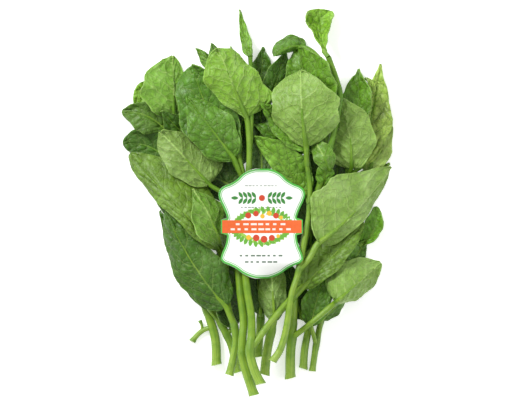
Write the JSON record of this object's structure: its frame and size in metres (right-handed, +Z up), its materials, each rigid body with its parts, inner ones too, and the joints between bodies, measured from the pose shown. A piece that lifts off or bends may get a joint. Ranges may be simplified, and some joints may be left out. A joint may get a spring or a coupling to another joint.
{
  "type": "bunch of malabar spinach",
  "caption": "Bunch of cut malabar spinach lying flat: fleshy oval leaves fan out from round green stems, with an upright printed label card across the middle.",
  "frame": {"origin": "on the table, under the middle of the bunch's bounding box", "axes": "+Z up from the table, +Y along the stems from their cut ends to the leafy end, +X to the right seen from above with the leafy end away"},
  "size_m": [0.2103, 0.2987, 0.0403],
  "materials": {
    "leaf": "satin fleshy leaf, darker on its upper face",
    "leaf_back": "paler soft underside with raised veins",
    "stem": "smooth juicy stem",
    "cut_end": "wet pale cut flesh",
    "label": "coated white card, printed on its face"
  },
  "bodies": {
    "root": {"leafy_stem_far_left": "leaf", "leafy_stem_left": "leaf", "leafy_stem_right": "leaf", "leafy_stem_far_right": "leaf", "leafy_stem_inner": "leaf", "leafy_stem_middle": "leaf", "leafy_stem_lower_left": "leaf", "leafy_stem_upper_right": "leaf", "leafy_stem_centre": "leaf", "leafy_stem_upper": "leaf", "leafy_stem_top": "leaf", "label_card": "label"}
  },
  "joints": []
}
